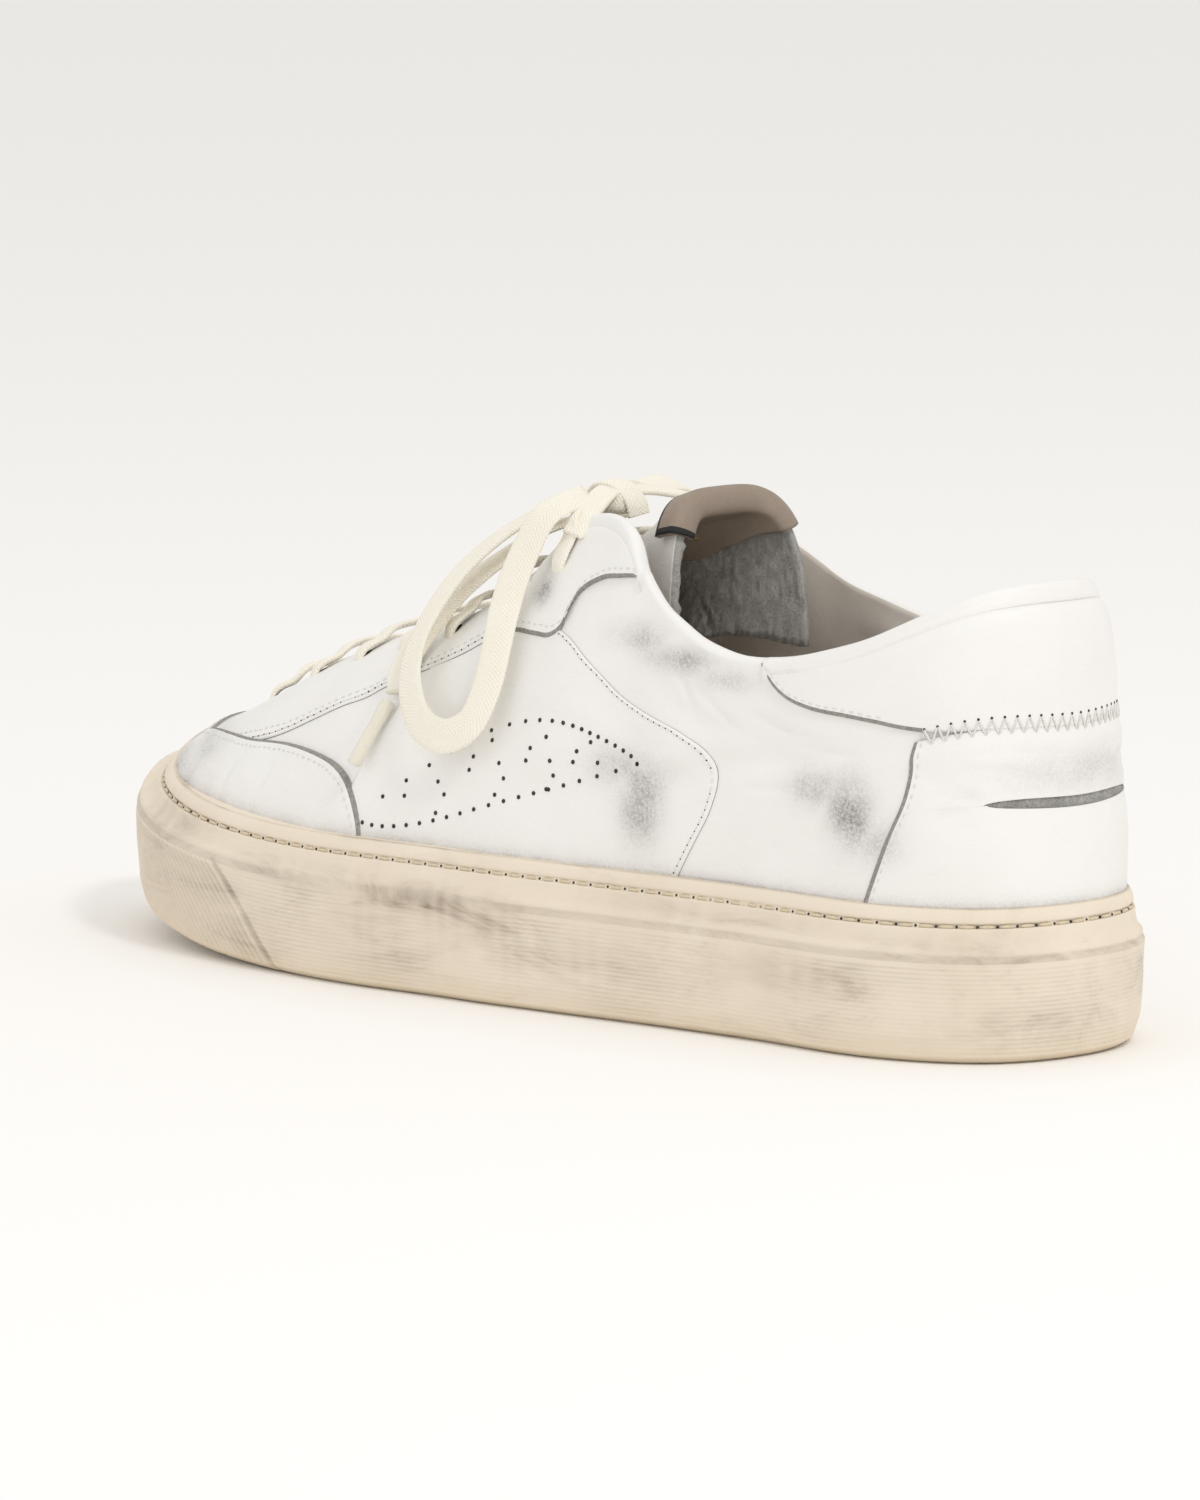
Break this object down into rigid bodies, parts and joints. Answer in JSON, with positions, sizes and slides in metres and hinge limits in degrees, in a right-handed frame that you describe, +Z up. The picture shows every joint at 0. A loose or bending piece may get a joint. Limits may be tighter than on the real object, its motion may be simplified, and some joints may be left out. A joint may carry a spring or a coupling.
{
  "type": "low lace-up sneaker",
  "caption": "Worn low-cut leather sneaker for the left foot: hollow upper on a rubber cup sole, with insole, tongue and flat laces tied in a bow.",
  "frame": {"origin": "on the ground below the middle of the shoe's own box, the free lace left out", "axes": "+Y to the toe, +X to the inner (medial) side of the foot, +Z up"},
  "size_m": [0.1054, 0.2994, 0.116],
  "materials": {
    "rubber": "matt, yellowed",
    "upper_leather": "soft, creased, satin",
    "insole_lining": "matt, worn",
    "tongue_suede": "napped suede inside, smooth white leather outside",
    "label_leather": "satin",
    "lace_cotton": "woven flat cotton",
    "aglet_plastic": "clear, scratched"
  },
  "bodies": {
    "root": {"cup_sole": "rubber", "upper": "upper_leather", "insole": "insole_lining", "tongue": "tongue_suede", "tongue_label": "label_leather", "lace_bar_1": "lace_cotton", "lace_bar_2": "lace_cotton", "lace_bar_3": "lace_cotton", "lace_bar_4": "lace_cotton", "lace_bar_5": "lace_cotton", "lace_bar_6": "lace_cotton", "lace_bar_7": "lace_cotton", "lace_knot": "lace_cotton", "lace_loop_lateral": "lace_cotton", "lace_end_lateral": "lace_cotton", "aglet_lateral": "aglet_plastic", "lace_loop_medial": "lace_cotton", "lace_end_medial": "lace_cotton", "aglet_medial": "aglet_plastic"}
  },
  "joints": []
}
